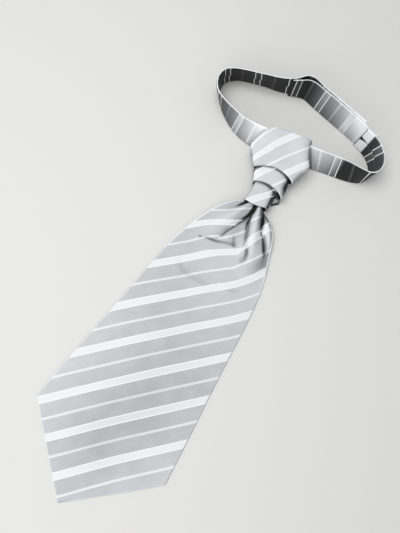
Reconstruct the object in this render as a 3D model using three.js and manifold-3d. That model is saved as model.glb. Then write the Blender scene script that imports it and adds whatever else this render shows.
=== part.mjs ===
// A pre-tied ascot tie, lying flat with its neckband standing on edge.
// Millimetres. Plan positions are measured from the blade's point: x across the tie, y up its
// centre line, z up from the surface that it lies on. The finished group is moved so that its
// origin is the middle of its footprint.

import * as THREE from 'three';
import { mergeVertices } from 'three/addons/utils/BufferGeometryUtils.js';
import Module from 'manifold-3d';

const wasm = await Module();
wasm.setup();

// Driving dimensions
const bladeEdgeWall = 1.8; // cloth and interlining at the blade's folded edges
const bladeMiddleWall = 2.9; // and along its middle, where the turned-in cloth overlaps
const wrapWall = 1.7; // cloth of the three wraps of the knot
const bandWidth = 23.5; // the neckband's width, standing on its edge
const bandWall = 1.8;
const tabWall = 1.6;
const knotPlace = { x: 3.3, y: 300.5 }; // the knot's own frame: its middle at the throat
const knotTurn = THREE.MathUtils.degToRad(14); // the knot leans this far from the blade's line

const bladeColumns = 24; // faces across the blade
const bladeSpans = 3; // rings between two rows of the blade's table
const hoopSteps = 12; // faces over the top of a wrap, and as many below
const bandSteps = 5; // rings between two rows of a band's table
const domeSquareness = 3.8; // a wrap's section above its middle: 2 is an ellipse, more is squarer
const soleSquareness = 7; // and below it, where the knot lies flatter

// The blade's outline from its shoulders to its gathered head inside the knot. Lift is how far
// its underside is off the surface.
const bladePoint = { y: 0, left: -0.4, right: 0.4, lift: 0 };
const bladeRows = [
  { y: 57.5, left: -64.8, right: 64.8, lift: 0 },
  { y: 102, left: -61, right: 60.3, lift: 0 },
  { y: 150, left: -55.8, right: 55, lift: 0 },
  { y: 198, left: -51, right: 50.4, lift: 0 },
  { y: 226, left: -47.8, right: 46.8, lift: 0 },
  { y: 248, left: -43, right: 41.4, lift: 0.1 },
  { y: 266, left: -36.6, right: 35, lift: 0.6 },
  { y: 280, left: -29.8, right: 28, lift: 1.3 },
  { y: 290, left: -21.4, right: 19.6, lift: 2 },
  { y: 295, left: -11, right: 8.6, lift: 2.5 },
  { y: 301, left: -9.9, right: 4.9, lift: 2.9 },
  { y: 308, left: -10, right: 3, lift: 3.4 },
  { y: 319, left: -11.2, right: 0.8, lift: 4.8 },
];

// The gathers that fan out of the throat into the blade: each is a ridge along a straight line
const gathers = [
  { name: 'left roll', fromX: -8.4, toX: -31, toY: 262, height: 3, fromWidth: 2.6, toWidth: 13 },
  { name: 'middle roll', fromX: 0, toX: 0.5, toY: 252, height: 4.2, fromWidth: 2.6, toWidth: 9 },
  { name: 'right roll', fromX: 6, toX: 24.5, toY: 266, height: 3, fromWidth: 1.7, toWidth: 5 },
];
const throat = { y: 297, middle: -2.3 };

// The wraps, in the knot's frame: w runs up the knot. Dip is how far the rim's middle is drawn
// up from its two corners, and slant how far it climbs from left to right.
const upperWrapRows = [
  { w: 27.2, left: -20.4, right: 18.6, floor: 0, top: 19.4, dip: 8, slant: -1.6 },
  { w: 36, left: -23.6, right: 23.4, floor: 0, top: 21, dip: 4, slant: 0 },
  { w: 45, left: -26.8, right: 28.2, floor: 0, top: 22.6, dip: 0, slant: 0 },
  { w: 54.5, left: -28, right: 27.4, floor: 0, top: 24.2, dip: 0, slant: 0 },
  { w: 62, left: -22.4, right: 24.6, floor: 0, top: 26, dip: 0, slant: 0 },
  { w: 68.8, left: -17.4, right: 23, floor: 0, top: 25.8, dip: 0, slant: 0 },
];
const middleWrapRows = [
  { w: 14, left: -15.9, right: 15.4, floor: 0, top: 15.9, dip: 4.6, slant: -6 },
  { w: 22, left: -16.9, right: 16.4, floor: 0.6, top: 16.8, dip: 2.4, slant: -2 },
  { w: 29, left: -18.2, right: 16.6, floor: 2.3, top: 17.2, dip: 0, slant: 0 },
  { w: 44, left: -20, right: 18, floor: 2.3, top: 17.8, dip: 0, slant: 0 },
];
const lowerWrapRows = [
  { w: 0.5, left: -16.4, right: 5.6, floor: 0, top: 14.2, dip: -2.4, slant: 0 },
  { w: 8, left: -14.8, right: 6.2, floor: 0.8, top: 13.9, dip: -1, slant: 0 },
  { w: 15, left: -13.6, right: 7.2, floor: 2.3, top: 13.7, dip: 0, slant: 0 },
  { w: 27, left: -13.8, right: 8.2, floor: 4.2, top: 14.4, dip: 0, slant: 0 },
];
const tailRows = [
  { w: 4.4, left: 6.6, right: 11.2, floor: 0, top: 1.8 },
  { w: 8.4, left: 7, right: 11.8, floor: 1.6, top: 3.6 },
  { w: 11, left: 7.6, right: 12, floor: 2.4, top: 4.5 },
  { w: 20, left: 8.4, right: 12.4, floor: 3, top: 6.2 },
];

// The neckband passes through the upper wrap in a slot of its own shape, this much wider all round
const slotClearance = 0.55;

// The neckband's lower edge, and its lean: how far its upper edge lies outside the loop (plus)
// or inside it (minus). Rise is the lower edge's height.
const leftBandRows = [
  { x: -9.2, y: 352.4, lean: -11, rise: 2.1 },
  { x: -24, y: 348.9, lean: -11.4, rise: 2.1 },
  { x: -39, y: 347, lean: -10.8, rise: 1 },
  { x: -54, y: 348.8, lean: -8, rise: 0 },
  { x: -66, y: 353.6, lean: -4.4, rise: 0 },
  { x: -76, y: 359.8, lean: 0, rise: 0 },
  { x: -85, y: 367.4, lean: 3.6, rise: 0 },
  { x: -91.6, y: 376, lean: 3, rise: 0 },
  { x: -93.4, y: 385.4, lean: 0, rise: 0 },
  { x: -89, y: 393, lean: -2.6, rise: 0 },
  { x: -80.5, y: 398.9, lean: -3.8, rise: 0 },
  { x: -62, y: 405.8, lean: -3.6, rise: 0 },
  { x: -45, y: 410.2, lean: -1.4, rise: 0 },
  { x: -33, y: 415.2, lean: 1.6, rise: 0 },
  { x: -22, y: 419.8, lean: 5.6, rise: 0 },
  { x: -8, y: 418.2, lean: 6.8, rise: 0 },
  { x: 16, y: 413, lean: 7, rise: 0 },
  { x: 39, y: 409.1, lean: 7, rise: 0 },
];
const rightBandRows = [
  { x: -8.7, y: 352.5, lean: -11, rise: 2.1 },
  { x: 6, y: 356.2, lean: -11, rise: 2.1 },
  { x: 19, y: 360.2, lean: -9.4, rise: 1 },
  { x: 34, y: 363.6, lean: -8.6, rise: 0 },
  { x: 48, y: 366.8, lean: -7.6, rise: 0 },
  { x: 58.6, y: 370.8, lean: -5, rise: 0 },
  { x: 65.6, y: 376.4, lean: -1, rise: 0 },
  { x: 67.8, y: 383.2, lean: 2.6, rise: 0 },
  { x: 66, y: 390, lean: 5, rise: 0 },
  { x: 61, y: 396.4, lean: 6.4, rise: 0 },
  { x: 53, y: 401.4, lean: 7, rise: 0 },
  { x: 42.6, y: 404.1, lean: 7, rise: 0 },
];
const tabRows = [
  { x: -36, y: 411, lean: 0.4, rise: 0.6 },
  { x: -28.6, y: 414.4, lean: 2, rise: 0.6 },
  { x: -20.4, y: 416.8, lean: 5, rise: 0 },
  { x: -8, y: 414.8, lean: 6.6, rise: 0 },
  { x: 16, y: 410.6, lean: 7, rise: 0 },
  { x: 40, y: 406.8, lean: 7, rise: 0 },
  { x: 54.4, y: 404.2, lean: 7, rise: 0 },
];

const satin = { roughness: 0.42, metalness: 0 };
const colours = {
  blade: 0xb9bdc2,
  upperWrap: 0xc2c6ca,
  middleWrap: 0xb2b6bb,
  lowerWrap: 0xbcc0c5,
  tail: 0x8d9196,
  band: 0x9a9da1,
  tab: 0x85888d,
};

// Every ring runs over its upper side and back under its lower one, with the same number of
// points on each, so that point i above pairs with point (count - 1 - i) below.
function loft(rings) {
  const count = rings[0].length;
  const indices = [];
  for (let row = 0; row < rings.length - 1; row += 1) {
    const here = row * count;
    const above = here + count;
    for (let step = 0; step < count; step += 1) {
      const next = (step + 1) % count;
      indices.push(here + step, here + next, above + next);
      indices.push(here + step, above + next, above + step);
    }
  }
  const last = (rings.length - 1) * count;
  for (let step = 0; step < count / 2 - 1; step += 1) {
    const under = count - 1 - step;
    indices.push(step, under, under - 1);
    indices.push(step, under - 1, step + 1);
    indices.push(last + step, last + under - 1, last + under);
    indices.push(last + step, last + step + 1, last + under - 1);
  }
  const geometry = new THREE.BufferGeometry();
  const coordinates = rings.flat().flatMap((point) => point.toArray());
  geometry.setAttribute('position', new THREE.Float32BufferAttribute(coordinates, 3));
  geometry.setIndex(indices);
  return geometry;
}

function makeManifold(geometry) {
  const merged = mergeVertices(geometry, 1e-4);
  const vertProperties = new Float32Array(merged.attributes.position.array);
  const triVerts = new Uint32Array(merged.index.array);
  return new wasm.Manifold(new wasm.Mesh({ numProp: 3, vertProperties, triVerts }));
}

function makeGeometry(manifold) {
  const mesh = manifold.getMesh();
  const geometry = new THREE.BufferGeometry();
  geometry.setAttribute('position', new THREE.Float32BufferAttribute(mesh.vertProperties, 3));
  geometry.setIndex(new THREE.Uint32BufferAttribute(mesh.triVerts, 1));
  return geometry;
}

function makeMesh(name, geometry, color) {
  geometry.computeVertexNormals();
  const material = new THREE.MeshStandardMaterial({ color, ...satin });
  const mesh = new THREE.Mesh(geometry, material);
  mesh.name = name;
  return mesh;
}

// Smooth rows between the rows of a table: every column is carried by a curve of its own, and
// no height swings under the surface that the tie lies on
const heightNames = ['lift', 'floor', 'rise'];
function fillRows(rows, spans) {
  const names = Object.keys(rows[0]);
  const curves = names.map((name) => new THREE.SplineCurve(
    rows.map((row, index) => new THREE.Vector2(index, row[name])),
  ));
  const total = (rows.length - 1) * spans;
  return Array.from({ length: total + 1 }, (unused, step) => {
    const values = curves.map((curve) => curve.getPoint(step / total).y);
    const row = Object.fromEntries(names.map((name, column) => [name, values[column]]));
    heightNames.filter((name) => name in row).forEach((name) => {
      row[name] = Math.max(row[name], 0);
    });
    return row;
  });
}

// How far the gathers raise the cloth at a place on the blade
function gatherHeight(x, y) {
  return gathers.reduce((sum, gather) => {
    const along = THREE.MathUtils.clamp((throat.y - y) / (throat.y - gather.toY), 0, 1);
    const middle = THREE.MathUtils.lerp(gather.fromX, gather.toX, along);
    const width = THREE.MathUtils.lerp(gather.fromWidth, gather.toWidth, along);
    const fade = 1 - THREE.MathUtils.smoothstep(along, 0.1, 1);
    return sum + gather.height * fade * Math.exp(-(((x - middle) / width) ** 2));
  }, 0);
}

function makeBlade() {
  const rings = [bladePoint, ...fillRows(bladeRows, bladeSpans)].map((row) => {
    const upper = [];
    const lower = [];
    for (let column = 0; column <= bladeColumns; column += 1) {
      const across = (2 * column) / bladeColumns - 1;
      const x = THREE.MathUtils.lerp(row.left, row.right, column / bladeColumns);
      const headShift = row.y > throat.y ? (row.left + row.right) / 2 - throat.middle : 0;
      const under = row.lift + gatherHeight(x - headShift, row.y);
      const wall = THREE.MathUtils.lerp(bladeMiddleWall, bladeEdgeWall, across ** 4);
      upper.push(new THREE.Vector3(x, row.y, under + wall));
      lower.unshift(new THREE.Vector3(x, row.y, under));
    }
    return [...upper, ...lower];
  });
  return makeMesh('blade', loft(rings), colours.blade);
}

// One ring of a wrap: a squared ellipse, its rim drawn up by the row's dip and slant
function wrapRing(row, inset) {
  const middle = (row.left + row.right) / 2;
  const halfWidth = (row.right - row.left) / 2 - inset;
  const centre = (row.floor + row.top) / 2;
  const halfHeight = (row.top - row.floor) / 2 - inset;
  const steps = 2 * hoopSteps;
  return Array.from({ length: steps }, (unused, step) => {
    const angle = Math.PI - (2 * Math.PI * (step + 0.5)) / steps;
    const reach = 2 / (Math.sin(angle) > 0 ? domeSquareness : soleSquareness);
    const across = Math.sign(Math.cos(angle)) * Math.abs(Math.cos(angle)) ** reach;
    const height = Math.sign(Math.sin(angle)) * Math.abs(Math.sin(angle)) ** reach;
    const rise = row.dip * (1 - across ** 2) + (row.slant * across) / 2;
    return new THREE.Vector3(
      middle + halfWidth * across,
      row.w + rise,
      centre + halfHeight * height,
    );
  });
}

// The hollow of a wrap: its rings moved in by the wall, and run on past each open end
function wrapHollow(rows, openTop) {
  const overrun = 6;
  const first = { ...rows[0], w: rows[0].w - overrun };
  const end = rows[rows.length - 1];
  const beyond = { ...end, w: openTop ? end.w + overrun : end.w - wrapWall };
  const inside = openTop ? rows : rows.slice(0, -1);
  return makeManifold(loft([first, ...inside, beyond].map((row) => wrapRing(row, wrapWall))));
}

function makeWrap(rows, openTop) {
  const smooth = fillRows(rows, 2);
  const outside = makeManifold(loft(smooth.map((row) => wrapRing(row, 0))));
  return outside.subtract(wrapHollow(smooth, openTop));
}

// A band on its edge: its lower edge follows the table, and its face leans by the row's lean.
// Outside is the side that a positive lean goes to: 1 is right of the band's way, -1 is left.
function bandRings({ rows, outside, wall }, clearance) {
  const smooth = fillRows(rows, bandSteps);
  return smooth.map((row, index) => {
    const before = smooth[Math.max(index - 1, 0)];
    const after = smooth[Math.min(index + 1, smooth.length - 1)];
    const forward = new THREE.Vector3(after.x - before.x, after.y - before.y, 0).normalize();
    const reach = outside * row.lean;
    const climb = Math.sqrt(bandWidth ** 2 - reach ** 2);
    const face = new THREE.Vector3(forward.y * reach, -forward.x * reach, climb).normalize();
    const across = face.clone().cross(forward).setLength(wall / 2 + clearance);
    const lowest = row.rise + (Math.abs(across.z) * wall) / 2 / across.length();
    const base = new THREE.Vector3(row.x, row.y, lowest);
    const heights = [-clearance, bandWidth / 2, bandWidth + clearance];
    const outer = heights.map((height) => base.clone().addScaledVector(face, height).add(across));
    const inner = heights.map((height) => base.clone().addScaledVector(face, height).sub(across));
    return [...outer, ...inner.reverse()];
  });
}

const leftBand = { rows: leftBandRows, outside: -1, wall: bandWall };
const rightBand = { rows: rightBandRows, outside: 1, wall: bandWall };
const tab = { rows: tabRows, outside: -1, wall: tabWall };

function makeKnot() {
  const knot = new THREE.Group();
  knot.position.set(knotPlace.x, knotPlace.y, 0);
  knot.rotation.z = knotTurn;
  knot.updateMatrix();
  const intoKnot = knot.matrix.clone().invert();

  const upperWrap = [leftBand, rightBand].reduce((shell, band) => {
    const slot = loft(bandRings(band, slotClearance)).applyMatrix4(intoKnot);
    return shell.subtract(makeManifold(slot));
  }, makeWrap(upperWrapRows, false));
  const middleWrap = makeWrap(middleWrapRows, true);
  const lowerWrap = makeWrap(lowerWrapRows, true);
  const tailRings = tailRows.map((row) => wrapRing({ ...row, dip: 0, slant: 0 }, 0));

  knot.add(makeMesh('knot_upper_wrap', makeGeometry(upperWrap), colours.upperWrap));
  knot.add(makeMesh('knot_middle_wrap', makeGeometry(middleWrap), colours.middleWrap));
  knot.add(makeMesh('knot_lower_wrap', makeGeometry(lowerWrap), colours.lowerWrap));
  knot.add(makeMesh('knot_tail', loft(tailRings), colours.tail));
  return knot;
}

const tie = new THREE.Group();
tie.add(makeBlade());
tie.add(makeKnot());
tie.add(makeMesh('neckband_left', loft(bandRings(leftBand, 0)), colours.band));
tie.add(makeMesh('neckband_right', loft(bandRings(rightBand, 0)), colours.band));
tie.add(makeMesh('fastening_tab', loft(bandRings(tab, 0)), colours.tab));

const bounds = new THREE.Box3().setFromObject(tie, true);
const middle = bounds.getCenter(new THREE.Vector3());
tie.position.set(-middle.x, -middle.y, -bounds.min.z);
tie.updateMatrixWorld(true);

export default tie;
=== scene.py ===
import math

import bpy
import numpy as np
from mathutils import Matrix, Vector


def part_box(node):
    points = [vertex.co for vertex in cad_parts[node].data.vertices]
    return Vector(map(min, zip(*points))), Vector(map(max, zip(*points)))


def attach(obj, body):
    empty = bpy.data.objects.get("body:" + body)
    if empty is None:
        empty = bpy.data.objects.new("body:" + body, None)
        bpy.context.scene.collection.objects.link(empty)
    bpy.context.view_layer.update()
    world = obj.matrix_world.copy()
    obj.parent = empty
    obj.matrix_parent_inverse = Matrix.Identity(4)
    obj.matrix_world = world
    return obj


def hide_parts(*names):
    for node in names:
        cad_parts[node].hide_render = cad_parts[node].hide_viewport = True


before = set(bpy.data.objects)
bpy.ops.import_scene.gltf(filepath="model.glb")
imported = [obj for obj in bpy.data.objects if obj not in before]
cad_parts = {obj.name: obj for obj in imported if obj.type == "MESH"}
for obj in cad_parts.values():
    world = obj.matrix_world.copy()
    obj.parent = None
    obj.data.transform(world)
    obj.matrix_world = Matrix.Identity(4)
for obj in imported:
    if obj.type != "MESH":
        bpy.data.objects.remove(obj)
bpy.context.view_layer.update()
bpy.ops.object.select_all(action="DESELECT")

# The tables are in millimetres. Plan places are measured from the blade's point: x across the
# tie, y up its centre line, z up from the surface that it lies on.
mm = 0.001
bladeLow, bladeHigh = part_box("blade")
tip = np.array([(bladeLow.x + bladeHigh.x) / 2, bladeLow.y, 0])

print("camera")
view = {
    "place": (10.55, 168.13, 365.7),  # over the tie, as the tables measure it
    "turn": 22.13,  # degrees about the vertical
    "tilt": 9.5,  # off straight down
    "roll": 11.9,
    "lens": 28.03,
    "sensor": 36,
    "clipStart": 0.01,
}


def addCamera():
    bpy.ops.object.camera_add(location=tuple(np.array(view["place"]) * mm + tip))
    camera = bpy.context.active_object
    turned, tilted, rolled = (
        Matrix.Rotation(math.radians(view[name]), 3, axis)
        for name, axis in (("turn", "Z"), ("tilt", "X"), ("roll", "Z"))
    )
    camera.rotation_euler = (turned @ tilted @ rolled).to_euler()
    camera.data.lens = view["lens"]
    camera.data.sensor_width = view["sensor"]
    camera.data.clip_start = view["clipStart"]
    bpy.context.scene.camera = camera


addCamera()


def named(columns, rows):
    # a table's rows with the names of its columns
    return [dict(zip(columns.split(), row)) for row in rows]


def column(rows, name):
    return np.array([row[name] for row in rows], float)


def splineThrough(values, at):
    # a smooth curve through evenly spaced values
    last = len(values) - 1
    at = np.clip(at, 0, last)
    start = np.minimum(np.floor(at).astype(int), last - 1)
    part = at - start
    before, here = values[np.maximum(start - 1, 0)], values[start]
    there, after = values[start + 1], values[np.minimum(start + 2, last)]
    leave, arrive = (there - before) / 2, (after - here) / 2
    return (
        (2 * here - 2 * there + leave + arrive) * part**3
        + (3 * there - 3 * here - 2 * leave - arrive) * part**2
        + leave * part
        + here
    )


def fillRows(rows, count):
    at = np.linspace(0, len(rows) - 1, count)
    return {name: splineThrough(column(rows, name), at) for name in rows[0]}


def smoothStep(low, high, value):
    part = np.clip((value - low) / (high - low), 0, 1)
    return part * part * (3 - 2 * part)


def bell(distance, width):
    return np.exp(-((distance / width) ** 2))


def roundedEnd(fromEnd, radius, least=0):
    # how thick cloth is near a rounded end
    return np.sqrt(1 - (1 - np.clip(fromEnd / radius, least, 1)) ** 2)


lineSteps = 8  # straight steps along a bent line for each row of its table


def nearLine(x, y, rows):
    # the distance to a bent line, plus on its right looking back along it, and the line's other
    # columns at the nearest place
    line = fillRows(rows, lineSteps * len(rows))
    nearest = np.full(np.shape(x), np.inf)
    side = np.ones(np.shape(x))
    found = {name: np.zeros(np.shape(x)) for name in line}
    for i in range(len(line["x"]) - 1):
        stepX = line["x"][i + 1] - line["x"][i]
        stepY = line["y"][i + 1] - line["y"][i]
        awayX, awayY = x - line["x"][i], y - line["y"][i]
        part = np.clip((awayX * stepX + awayY * stepY) / (stepX**2 + stepY**2), 0, 1)
        distance = np.hypot(awayX - part * stepX, awayY - part * stepY)
        closer = distance < nearest
        nearest = np.where(closer, distance, nearest)
        side = np.where(closer, np.sign(stepX * awayY - stepY * awayX), side)
        for name, run in line.items():
            found[name] = np.where(closer, run[i] + part * (run[i + 1] - run[i]), found[name])
    return nearest * side, found


plate = {"unit": 100, "ease": 0.002, "least": 1e-12}  # ease is how little it need meet a row


def smoothSurface(rows, x, y):
    # a thin plate bent through rows of x, y and a value, read at any places
    rows = np.array(rows, float)
    at, given = rows[:, :2] / plate["unit"], rows[:, 2]

    def bend(squared):
        return squared * np.log(squared + plate["least"])

    between = ((at[:, None] - at[None]) ** 2).sum(-1)
    level = np.hstack([np.ones((len(at), 1)), at])
    system = np.zeros((len(at) + 3, len(at) + 3))
    system[:-3, :-3] = bend(between) + plate["ease"] * np.eye(len(at))
    system[:-3, -3:] = level
    system[-3:, :-3] = level.T
    solved = np.linalg.solve(system, np.concatenate([given, np.zeros(3)]))
    x, y = np.asarray(x) / plate["unit"], np.asarray(y) / plate["unit"]
    surface = solved[-3] + solved[-2] * x + solved[-1] * y
    for weight, place in zip(solved[:-3], at):
        surface = surface + weight * bend((x - place[0]) ** 2 + (y - place[1]) ** 2)
    return surface


def withPoles(run):
    # one more row at each end, drawn to a point, closes a surface
    middle = run.mean(axis=1, keepdims=True) + 0 * run
    return np.concatenate([middle[:1], run, middle[-1:]])


weldWithin = 3e-6  # metres


def layCloth(name, points, pattern, lustre, capped=False):
    # Faces over a grid of points, rows by columns. The pattern is each point's place on the flat
    # cloth, along and across the stripes, and the painted light how much painted highlight, or below
    # zero painted shade, is added there to what its slope gives.
    if capped:
        points, pattern, lustre = (withPoles(run) for run in (points, pattern, lustre))
    rows, columns = points.shape[:2]
    bpy.ops.mesh.primitive_grid_add(x_subdivisions=columns - 1, y_subdivisions=rows - 1, size=1)
    piece = bpy.context.active_object
    piece.name = piece.data.name = name
    mesh = piece.data
    mesh.vertices.foreach_set("co", (points.reshape(-1, 3) * mm + tip).ravel())
    corners = np.zeros(len(mesh.loops), np.int32)
    mesh.loops.foreach_get("vertex_index", corners)
    clothMap = mesh.uv_layers[0]
    clothMap.name = "cloth"
    clothMap.uv.foreach_set("vector", (pattern.reshape(-1, 2)[corners] * mm).ravel())
    layer = mesh.attributes.new("lustre", "FLOAT", "POINT")
    layer.data.foreach_set("value", np.ravel(lustre).astype(np.float32))
    bpy.ops.object.mode_set(mode="EDIT")
    bpy.ops.mesh.select_all(action="SELECT")
    bpy.ops.mesh.remove_doubles(threshold=weldWithin)
    bpy.ops.mesh.normals_make_consistent(inside=False)
    bpy.ops.object.mode_set(mode="OBJECT")
    bpy.ops.object.shade_smooth()
    bpy.ops.object.select_all(action="DESELECT")
    return piece


print("satin")
stripes = {
    "period": 31.03,  # from one narrow stripe to the next
    "slope": 46.4,  # degrees that they climb across the blade
    "first": 3.9,  # from the blade's point to the first narrow stripe
    "narrow": 2.1,
    "broad": 6.5,
    "line": 0.85,  # the matte line along each edge of a broad stripe
    "soft": 0.16,  # how softly a stripe ends
    "wander": 0.12,  # how far the stripes stray at random
    "wanderScale": 35.0,
}
satinLook = {
    # painted light and shade: each colour comes as a lit and a shaded copy, mixed by how far the cloth
    # faces a fixed light direction; groundGlint is a painted highlight
    "groundLight": (0.4, 0.411, 0.422, 1),
    "groundDark": (0.015, 0.0155, 0.016, 1),
    "groundGlint": (0.78, 0.785, 0.79, 1),
    "narrowLight": (0.6, 0.61, 0.62, 1),
    "narrowDark": (0.06, 0.06, 0.06, 1),
    "insideLight": (0.635, 0.643, 0.652, 1),
    "insideDark": (0.042, 0.042, 0.042, 1),
    "line": (0.69, 0.69, 0.685, 1),
    "lineDark": (0.09, 0.09, 0.09, 1),
    "toLight": (-0.26, -0.06, 0.96),
    "turnedAway": 0.36,  # a face turned this far from the fixed light direction gets the full painted shade
    "turnedTo": 0.965,
    "lineLit": (-0.75, -0.15),  # the painted light at which the matte lines are fully shaded, and fully lit
    # a noise's scale and detail, and how dark and how light it makes the ground
    "mottle": (60.0, 3.0, 0.96, 1.04),
    "streak": (1.0, 2.0, 0.95, 1.05),
    "streakStretch": (60.0, 2600.0, 1.0),
    "noiseSpan": (0.3, 0.7),
    "thread": 0.32,  # millimetres from one thread of the weave to the next
    "rib": 1.1,
    "ribHeight": 0.8,  # against the threads' height of 1
    "broadHeight": 1.5,
    "weaveStrength": 0.12,
    "weaveDepth": 0.00006,
    "matte": 0.18,  # how much rougher the stripes are than the ground
    "specular": 0.16,
    "anisotropic": 0.35,
    "sheen": 0.01,
    "sheenRoughness": 0.4,
}


class Nodes:
    def __init__(self, material):
        self.tree = material.node_tree
        self.shader = self.tree.nodes["Principled BSDF"]

    def add(self, kind, inputs=(), **settings):
        node = self.tree.nodes.new("ShaderNode" + kind)
        for name, value in settings.items():
            setattr(node, name, value)
        for socket, value in dict(inputs).items():
            self.give(node.inputs[socket], value)
        return node

    def give(self, socket, value):
        if isinstance(value, bpy.types.NodeSocket):
            self.tree.links.new(value, socket)
        else:
            socket.default_value = value

    def math(self, operation, *values):
        node = self.add("Math", enumerate(values), operation=operation)
        return node.outputs[0]

    def ease(self, value, low, high, start=0.0, end=1.0):
        inputs = {"Value": value, "From Min": low, "From Max": high, "To Min": start, "To Max": end}
        node = self.add("MapRange", inputs, interpolation_type="SMOOTHSTEP")
        return node.outputs["Result"]

    def clip(self, value):
        return self.math("MINIMUM", self.math("MAXIMUM", value, 0.0), 1.0)

    def noise(self, vector, scale, detail, low, high):
        inputs = {"Vector": vector, "Scale": scale, "Detail": detail}
        node = self.add("TexNoise", inputs)
        return self.ease(node.outputs["Fac"], *satinLook["noiseSpan"], low, high)

    def mix(self, part, first, second):
        # a colour mix's sockets go by number, because every kind of mix has sockets A and B
        node = self.add("Mix", {0: part, 6: first, 7: second}, data_type="RGBA")
        return node.outputs[2]


def makeSatin(name, roughness):
    material = bpy.data.materials.new(name)
    material.use_nodes = True
    n = Nodes(material)
    look, socket = satinLook, n.shader.inputs
    cloth = n.add("UVMap", uv_map="cloth").outputs["UV"]
    place = n.add("TexCoord").outputs["Object"]
    apart = n.add("SeparateXYZ", {"Vector": cloth}).outputs

    # the stripes
    wander = {"Vector": place, "Scale": stripes["wanderScale"], "Detail": 1.0}
    wander = n.add("TexNoise", wander).outputs["Fac"]
    drift = n.math("MULTIPLY_ADD", wander, stripes["wander"] * mm, apart["Y"])
    drift = n.math("SUBTRACT", drift, stripes["wander"] * mm / 2)
    turns = n.math("MULTIPLY", drift, 1 / (stripes["period"] * mm))
    fromBroad = n.math("ABSOLUTE", n.math("SUBTRACT", n.math("FRACT", turns), 0.5))
    fromBroad = n.math("MULTIPLY", fromBroad, stripes["period"])
    soft, half = stripes["soft"], stripes["broad"] / 2
    broad = n.ease(fromBroad, half - soft, half + soft, 1.0, 0.0)
    inner = half - stripes["line"]
    inside = n.ease(fromBroad, inner - soft, inner + soft, 1.0, 0.0)
    beside = (stripes["period"] - stripes["narrow"]) / 2
    narrow = n.ease(fromBroad, beside - soft, beside + soft)

    # painted light and shade: the colour is bright where the cloth faces a fixed light direction and dark
    # where it turns away, plus each point's painted light
    normal = n.add("NewGeometry").outputs["Normal"]
    facing = {0: normal, 1: look["toLight"]}
    facing = n.add("VectorMath", facing, operation="DOT_PRODUCT").outputs["Value"]
    lustre = n.add("Attribute", attribute_name="lustre").outputs["Fac"]
    shine = n.ease(facing, look["turnedAway"], look["turnedTo"])
    shine = n.math("ADD", shine, lustre)
    lit = n.ease(shine, *look["lineLit"])
    glint = n.clip(n.math("SUBTRACT", shine, 1.0))
    shine = n.clip(shine)

    ground = n.mix(shine, look["groundDark"], look["groundLight"])
    mottled = n.noise(place, *look["mottle"])
    drawn = n.add("Mapping", {"Vector": cloth, "Scale": look["streakStretch"]})
    streaked = n.noise(drawn.outputs[0], *look["streak"])
    uneven = {0: ground, 1: n.math("MULTIPLY", mottled, streaked)}
    ground = n.add("VectorMath", uneven, operation="MULTIPLY").outputs[0]
    colour = n.mix(narrow, ground, n.mix(shine, look["narrowDark"], look["narrowLight"]))
    colour = n.mix(glint, colour, look["groundGlint"])
    colour = n.mix(broad, colour, n.mix(lit, look["lineDark"], look["line"]))
    colour = n.mix(inside, colour, n.mix(shine, look["insideDark"], look["insideLight"]))
    n.give(socket["Base Color"], colour)

    # the weave: fine threads both ways, and ribs across the broad stripe
    thread = 2 * math.pi / (look["thread"] * mm)
    warp = n.math("SINE", n.math("MULTIPLY", apart["X"], thread))
    weft = n.math("SINE", n.math("MULTIPLY", apart["Y"], thread))
    weave = n.math("MULTIPLY", warp, weft)
    rib = n.math("SINE", n.math("MULTIPLY", apart["X"], 2 * math.pi / (look["rib"] * mm)))
    height = n.math("MULTIPLY_ADD", n.math("MULTIPLY", rib, inside), look["ribHeight"], weave)
    height = n.math("MULTIPLY_ADD", broad, look["broadHeight"], height)
    bump = {"Height": height, "Strength": look["weaveStrength"], "Distance": look["weaveDepth"]}
    n.give(socket["Normal"], n.add("Bump", bump).outputs["Normal"])
    matte = n.math("MAXIMUM", broad, narrow)
    n.give(socket["Roughness"], n.math("MULTIPLY_ADD", matte, look["matte"], roughness))
    socket["Specular IOR Level"].default_value = look["specular"]
    socket["Anisotropic"].default_value = look["anisotropic"]
    socket["Sheen Weight"].default_value = look["sheen"]
    socket["Sheen Roughness"].default_value = look["sheenRoughness"]
    return material


rough = {"blade": 0.4, "knot": 0.4, "neckband": 0.42, "tab": 0.42}
satins = {part + "_satin": makeSatin(part + "Satin", value) for part, value in rough.items()}


def finishPiece(piece, node, slotName):
    piece.data.materials.clear()
    piece.data.materials.append(satins[slotName])
    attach(piece, "root")
    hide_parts(node)


print("blade")
blade = {
    "length": 319.4,
    "pointHalf": 0.4,  # half the width of its point
    "tipRows": (0.02, 0.12, 0.3, 0.55, 0.9, 1.4),
    "rowRuns": ((2.4, 200, 2.4), (200, 240, 1.2), (240, 300, 0.55), (300, 319.5, 1.2)),
    "topColumns": 240,
    "underColumns": 56,
    "edgeColumns": 7,
    "tableSteps": 600,
    "pleatSteps": 60,
    "edgeRound": 0.9,  # the radius of its folded edges
    "edgeMost": 0.45,  # and the most of its width that it takes near the point
    "endRound": 0.9,
    "endLeast": 0.01,
    "leastWall": 0.9,
    "crownPower": 2.6,  # how flat its top is between its edges
    "pleatPower": 1.4,  # how sharp a pleat is at its bottom
    "darkWithin": 1.1,  # how much narrower than the pleat its painted shade is
    "dome": 0.3,  # how far the underside follows the upper side's rise
    "paintedDriftMost": 0.2,
    "gathers": (215, 262),  # how far up they start, and are full
    # painted highlight along its edges: how much on the flat cloth, and how much more in the gathers
    "edgeHighlight": (0.15, 1.3),
    "rightFold": (0.7, 1.2),
    "leftFold": (0.7, 1.4),
    "edgeHighlightWide": 0.9,
    "edgeHighlightOverShade": 0.8,
    # stripes that lie this far apart across the main pleat, this far up, are hidden in it under painted
    # shade
    "partedBy": (2, 7),
    "partedUp": (255, 262),
    "partedDark": 0.6,
    "partedWide": 0.7,
}
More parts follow.
